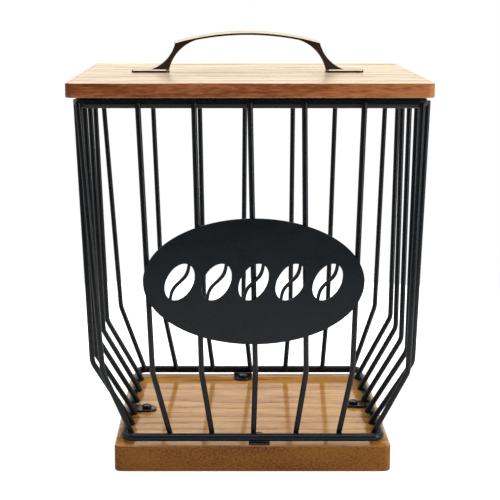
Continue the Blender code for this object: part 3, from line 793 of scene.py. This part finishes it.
def lacquered_wood(name, node, face_tones, edge_tones, heart, gloss, tear, film, drift):
    """Stained softwood, planed along the grain, its edges given a second stain, then brushed with
    clear gloss lacquer. Its rims are darker, partly from that stain and partly with painted shade.
    It shows dark lines of late wood, short pores and a white sheen at low angles.

    heart is where the growth rings centre, tear how many times longer than wide the torn fibres
    are, film how much lacquer lies on the face, and drift how far the edges pale to the right.
    """
    made, tree, shader, place = surface(name)
    low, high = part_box(node)
    middle = (low + high) / 2
    half = (high - low) / 2
    shader.inputs["Roughness"].default_value = 0.55
    shader.inputs["Specular IOR Level"].default_value = 0.1

    # Where the board's fibres wander sideways, by up to 3 mm over 60 mm
    wander = noise(tree, squeezed(tree, place.outputs["Object"], 0.25), 60, 2)
    offset = add(tree, "VectorMath", {0: wander.outputs["Color"], 1: (0, 6 * MM, 6 * MM)},
                 operation="MULTIPLY")
    shifted = add(tree, "VectorMath", {0: place.outputs["Object"], 1: offset.outputs["Vector"]},
                  operation="ADD")
    grain_place = shifted.outputs["Vector"]

    # Growth rings 9 mm apart round the heart, which lies along X below the board
    trunk = add(tree, "Mapping", {"Vector": grain_place, "Location": (0, -heart[0], -heart[1]),
                                  "Scale": (0.05, 1, 1)})
    rings = add(tree, "TexWave", {"Vector": trunk.outputs["Vector"], "Scale": 35, "Distortion": 5,
                                  "Detail": 3, "Detail Scale": 1.5, "Detail Roughness": 0.6},
                wave_type="RINGS", rings_direction="X", wave_profile="SAW")
    late = add(tree, "ValToRGB", {"Fac": rings.outputs["Fac"]},
               stops=((0, (0.4, 0.4, 0.4, 1)), (0.1, (0, 0, 0, 1)), (0.6, (0.1, 0.1, 0.1, 1)),
                      (0.92, (1, 1, 1, 1))))

    # Fibres 0.8 mm wide and 16 mm long
    fibre = noise(tree, squeezed(tree, grain_place, 0.05), 1200, 4, 0.6)

    # Broken dark streaks 2 mm wide and 30 mm long
    streak = noise(tree, squeezed(tree, grain_place, 0.07), 420, 3)
    dark = add(tree, "MapRange", {"Value": streak.outputs["Fac"], "From Min": 0.48,
                                  "From Max": 0.7})

    # Pores 0.6 mm wide and 5 mm long
    pore = noise(tree, squeezed(tree, grain_place, 0.12), 1700, 1)
    pit = add(tree, "MapRange", {"Value": pore.outputs["Fac"], "From Min": 0.6, "From Max": 0.72})

    # Stain that took unevenly, in clouds of 50 mm by 15 mm
    cloud = noise(tree, squeezed(tree, place.outputs["Object"], 0.3), 65, 3)

    # The weights make a shade that lies between 0.35 in the palest places and 0.85 in the darkest
    shade = add(tree, "Math", {0: late.outputs["Color"], 1: 0.2}, operation="MULTIPLY")
    for grain, weight in ((fibre.outputs["Fac"], 0.45), (dark.outputs["Result"], 0.14),
                          (pit.outputs["Result"], 0.22), (cloud.outputs["Fac"], 0.4)):
        shade = add(tree, "Math", {0: grain, 1: weight, 2: shade.outputs[0]},
                    operation="MULTIPLY_ADD")
    face = add(tree, "ValToRGB", {"Fac": shade.outputs[0]},
               stops=[(0.4 + 0.16 * i, linear(c)) for i, c in enumerate(face_tones)])

    # The edges: fine speckle of torn fibres on the ends, drawn out along the front and back
    speck = noise(tree, squeezed(tree, place.outputs["Object"], 1 / tear), 900, 4, 0.65)
    # The longer the fibres, the softer the speckle
    soft = 1.4 - 0.1 * tear
    blend = add(tree, "Math", {0: speck.outputs["Fac"], 1: soft, 2: 0.5 - 0.5 * soft},
                operation="MULTIPLY_ADD")
    blend = add(tree, "Math", {0: dark.outputs["Result"], 1: -0.01 * tear, 2: blend.outputs[0]},
                operation="MULTIPLY_ADD")
    blend = add(tree, "Math", {0: cloud.outputs["Fac"], 1: 0.5, 2: blend.outputs[0]},
                operation="MULTIPLY_ADD")
    # The edges' colour grows paler towards the right, a gradient along X
    spot = add(tree, "SeparateXYZ", {0: place.outputs["Object"]})
    blend = add(tree, "Math", {0: spot.outputs["X"], 1: drift / half.x, 2: blend.outputs[0]},
                operation="MULTIPLY_ADD")
    edge = add(tree, "ValToRGB", {"Fac": blend.outputs[0]},
               stops=[(0.45 + 0.2 * i, linear(c)) for i, c in enumerate(edge_tones)])

    # How much of the edge tone a place takes: by the way it faces, and within 4 mm of the rim,
    # where
    #     # the darker tone is partly a deeper stain and partly painted shade, like that under the
    #     ring
    facing = add(tree, "SeparateXYZ", {0: place.outputs["Normal"]})
    upright = add(tree, "Math", {0: facing.outputs["Z"]}, operation="ABSOLUTE")
    side = add(tree, "MapRange", {"Value": upright.outputs[0], "From Min": 0.9, "From Max": 0.4})
    rims = []
    for axis, center, reach in (("X", middle.x, half.x), ("Y", middle.y, half.y)):
        off = add(tree, "Math", {0: spot.outputs[axis], 1: center}, operation="SUBTRACT")
        far = add(tree, "Math", {0: off.outputs[0]}, operation="ABSOLUTE")
        rim = add(tree, "MapRange", {"Value": far.outputs[0], "From Min": reach - 4.5 * MM,
                                     "From Max": reach - 0.5 * MM, "To Max": 0.2})
        rims.append(rim.outputs["Result"])
    # The rim's darker band is partly stain and partly painted shade
    rim = add(tree, "Math", {0: rims[0], 1: rims[1]}, operation="MAXIMUM")
    stain_and_shade = add(tree, "Math", {0: side.outputs["Result"], 1: rim.outputs[0]},
                  operation="MAXIMUM")
    tone = add(tree, "MixRGB", {"Fac": stain_and_shade.outputs[0], "Color1": face.outputs["Color"],
                                "Color2": edge.outputs["Color"]})
    tree.links.new(tone.outputs["Color"], shader.inputs["Base Color"])

    # The lacquer lies thick on the faces, in slack waves of 14 mm. It sinks into the dark grain and
    # into the edges, which stay dull and deep in colour.
    thick = add(tree, "MapRange", {"Value": upright.outputs[0], "From Max": 0.5, "To Min": 0.1})
    sunk = add(tree, "MapRange", {"Value": shade.outputs[0], "From Min": 0.5, "From Max": 0.8,
                                  "To Min": film, "To Max": film * 0.35})
    cover = add(tree, "Math", {0: thick.outputs["Result"], 1: sunk.outputs["Result"]},
                operation="MULTIPLY")
    tree.links.new(cover.outputs[0], shader.inputs["Coat Weight"])
    wear = add(tree, "MapRange", {"Value": cloud.outputs["Fac"], "From Min": 0.3, "From Max": 0.7,
                                  "To Min": gloss - 0.04, "To Max": gloss + 0.04})
    tree.links.new(wear.outputs["Result"], shader.inputs["Coat Roughness"])
    slack = noise(tree, place.outputs["Object"], 70, 1)
    level = add(tree, "Bump", {"Height": slack.outputs["Fac"], "Strength": 0.3,
                               "Distance": 0.1 * MM})
    grainy = add(tree, "Bump", {"Height": fibre.outputs["Fac"], "Strength": 0.2,
                                "Distance": 0.05 * MM, "Normal": level.outputs["Normal"]})
    tree.links.new(grainy.outputs["Normal"], shader.inputs["Normal"])
    ripple = add(tree, "Bump", {"Height": dark.outputs["Result"], "Strength": 0.1,
                                "Distance": 0.02 * MM, "Normal": level.outputs["Normal"]})
    tree.links.new(ripple.outputs["Normal"], shader.inputs["Coat Normal"])
    return made


def antique_nickel():
    """Zinc alloy, die-cast, plated in nickel, toned dark and polished on a buffing wheel. It is a
    warm bright grey on its top and its chamfers, and brown-black on its sides and hollows: partly
    where the buff reached and partly painted light, as the tone follows how far a face points up."""
    made, tree, shader, place = surface("antique_nickel_plating")
    shader.inputs["Metallic"].default_value = 1
    facing = add(tree, "SeparateXYZ", {0: place.outputs["Normal"]})
    # Buffing lines along the pull, 0.3 mm wide
    lines = noise(tree, squeezed(tree, place.outputs["Object"], 0.05), 3000, 3)
    # Patches of 8 mm that the buff missed
    missed = noise(tree, place.outputs["Object"], 120, 3)
    # Painted light: faces that point up come out bright and sides dark, along with the missed
    # patches
    buff_and_top_light_mix = add(tree, "Math", {0: missed.outputs["Fac"], 1: 0.25, 2: facing.outputs["Z"]},
               operation="MULTIPLY_ADD")
    buff_and_top_light = add(tree, "MapRange", {"Value": buff_and_top_light_mix.outputs[0], "From Min": 0.3, "From Max": 0.62})
    tone = add(tree, "MixRGB", {"Fac": buff_and_top_light.outputs["Result"], "Color1": linear("#4b4338"),
                                "Color2": linear("#9d9282")})
    shine = add(tree, "ValToRGB", {"Fac": lines.outputs["Fac"]},
                stops=((0.3, linear("#d8d8d8")), (0.7, linear("#ffffff"))))
    lined = add(tree, "MixRGB", {"Fac": 1.0, "Color1": tone.outputs["Color"],
                                 "Color2": shine.outputs["Color"]}, blend_type="MULTIPLY")
    tree.links.new(lined.outputs["Color"], shader.inputs["Base Color"])
    gloss = add(tree, "MapRange", {"Value": buff_and_top_light.outputs["Result"], "To Min": 0.46,
                                   "To Max": 0.24})
    tree.links.new(gloss.outputs["Result"], shader.inputs["Roughness"])
    bump = add(tree, "Bump", {"Height": missed.outputs["Fac"], "Strength": 0.2,
                              "Distance": 0.05 * MM})
    tree.links.new(bump.outputs["Normal"], shader.inputs["Normal"])
    return made


def bright_zinc():
    """Steel screws, barrel plated in zinc and passivated: pale blue-grey, a little clouded."""
    made, tree, shader, place = surface("bright_zinc_plating")
    shader.inputs["Metallic"].default_value = 1
    cloud = noise(tree, place.outputs["Object"], 900, 2)
    tone = add(tree, "ValToRGB", {"Fac": cloud.outputs["Fac"]},
               stops=((0.3, linear("#a9abad")), (0.7, linear("#c6c7c6"))))
    tree.links.new(tone.outputs["Color"], shader.inputs["Base Color"])
    gloss = add(tree, "MapRange", {"Value": cloud.outputs["Fac"], "To Min": 0.22, "To Max": 0.4})
    tree.links.new(gloss.outputs["Result"], shader.inputs["Roughness"])
    return made


def black_electrocoat():
    """Steel tabs and screws under a thin black electrocoat, glossier than the powder coat above
    them, with bare specks of 0.5 mm scattered over it."""
    made, tree, shader, place = surface("black_electrocoat")
    speck = noise(tree, place.outputs["Object"], 2000, 2)
    bare = add(tree, "MapRange", {"Value": speck.outputs["Fac"], "From Min": 0.66,
                                  "From Max": 0.74})
    tone = add(tree, "MixRGB", {"Fac": bare.outputs["Result"], "Color1": linear("#121315"),
                                "Color2": linear("#8d8c88")})
    tree.links.new(tone.outputs["Color"], shader.inputs["Base Color"])
    tree.links.new(bare.outputs["Result"], shader.inputs["Metallic"])
    shader.inputs["Roughness"].default_value = 0.22
    shader.inputs["Specular IOR Level"].default_value = 0.3
    return made


# Stage, light and camera

def make_stage():
    """A plain pale floor that turns white in the picture and keeps the object's shadow."""
    floor = primitive("circle", vertices=128, radius=FLOOR_RADIUS, fill_type="NGON")
    floor.name = "studio_floor"
    made, tree, shader, _ = surface("pale_floor")
    shader.inputs["Base Color"].default_value = linear("#dedede")
    shader.inputs["Roughness"].default_value = 0.9
    ray = add(tree, "LightPath")
    glow = add(tree, "Emission", {"Color": (1, 1, 1, 1), "Strength": 0.5})
    both = add(tree, "AddShader", {0: shader.outputs[0], 1: glow.outputs[0]})
    pick = add(tree, "MixShader", {0: ray.outputs["Is Camera Ray"], 1: shader.outputs[0],
                                   2: both.outputs[0]})
    tree.links.new(pick.outputs[0], tree.nodes["Material Output"].inputs["Surface"])
    floor.data.materials.append(made)


def make_light():
    """A tent of warm white cloth, open and darker on the camera's side, with a large softbox above
    and one on each side in front."""
    world = bpy.data.worlds.new("white_tent")
    bpy.context.scene.world = world
    world.use_nodes = True
    tree = world.node_tree
    ray = add(tree, "LightPath")
    seen = add(tree, "Math", {0: ray.outputs["Is Camera Ray"],
                              1: ray.outputs["Is Transmission Ray"]}, operation="MAXIMUM")
    parts = add(tree, "SeparateXYZ", {0: add(tree, "TexCoord").outputs["Generated"]})
    depth = add(tree, "MapRange", {"Value": parts.outputs["Y"], "From Min": -0.7, "From Max": 0.5,
                                   "To Min": 0.1, "To Max": 1})
    light = add(tree, "Background", {"Color": linear("#fff9ea"),
                                     "Strength": depth.outputs["Result"]})
    white = add(tree, "Background", {"Color": (1, 1, 1, 1), "Strength": 1})
    pick = add(tree, "MixShader", {0: seen.outputs[0], 1: light.outputs[0], 2: white.outputs[0]})
    tree.links.new(pick.outputs[0], tree.nodes["World Output"].inputs["Surface"])
    for name, place, width, height, power in (
            ("softbox_above", (0.1, 0.1, 1.3), 2.4, 2.0, 42),
            ("softbox_left", (-1.0, -0.6, 0.45), 0.2, 0.9, 1),
            ("softbox_right", (0.9, -0.6, 0.4), 0.3, 0.9, 8)):
        lamp = bpy.data.lights.new(name, "AREA")
        lamp.shape = "RECTANGLE"
        lamp.size = width
        lamp.size_y = height
        lamp.energy = power
        obj = bpy.data.objects.new(name, lamp)
        bpy.context.scene.collection.objects.link(obj)
        obj.location = place
        aim = LAMP_AIM - Vector(place)
        obj.rotation_euler = aim.to_track_quat("-Z", "Y").to_euler()


def make_camera():
    """The photograph's viewpoint, a little left of the basket and looking down."""
    lens = bpy.data.cameras.new("camera")
    lens.lens = CAMERA_LENS
    lens.sensor_width = 36
    lens.shift_x = CAMERA_SHIFT
    camera = bpy.data.objects.new("camera", lens)
    bpy.context.scene.collection.objects.link(camera)
    camera.location = CAMERA_PLACE
    camera.rotation_euler = (pi / 2 - CAMERA_PITCH, 0, 0)
    bpy.context.scene.camera = camera


black = satin_powder_coat()
gloss_black = black_electrocoat()
lid_wood = lacquered_wood("red_brown_lacquered_wood", "lid_board",
                          face_tones=("#b9a78d", "#a0896d", "#7e5e46", "#563924"),
                          edge_tones=("#562911", "#83492a", "#a96c42"),
                          heart=(0.14, 0.02), gloss=0.2, tear=7, film=0.78, drift=0.09)
base_wood = lacquered_wood("orange_brown_lacquered_wood", "base_board",
                           face_tones=("#b6822f", "#9d6822", "#7f4c17", "#57320c"),
                           edge_tones=("#3c210b", "#653c16", "#7e501f"),
                           heart=(0.12, -0.2), gloss=0.11, tear=1.5, film=1, drift=0.01)

rings = {"ring_upper": ring_line("ring_upper", TOP_CORNER, TOP_THICKER, TOP_LOWER, TOP_THICKER),
         "ring_lower": ring_line("ring_lower", LOW_CORNER, LOW_THICKER)}
make_wires(black, rings)
for node, ring in rings.items():
    make_ring(node, ring, black)
make_plate(black)
for side in SIDES:
    make_tab(side, gloss_black)
make_boards(lid_wood, base_wood)
make_pull(antique_nickel())
make_screws(gloss_black, bright_zinc())

make_stage()
make_light()
make_camera()
bpy.context.scene.view_settings.view_transform = "Standard"
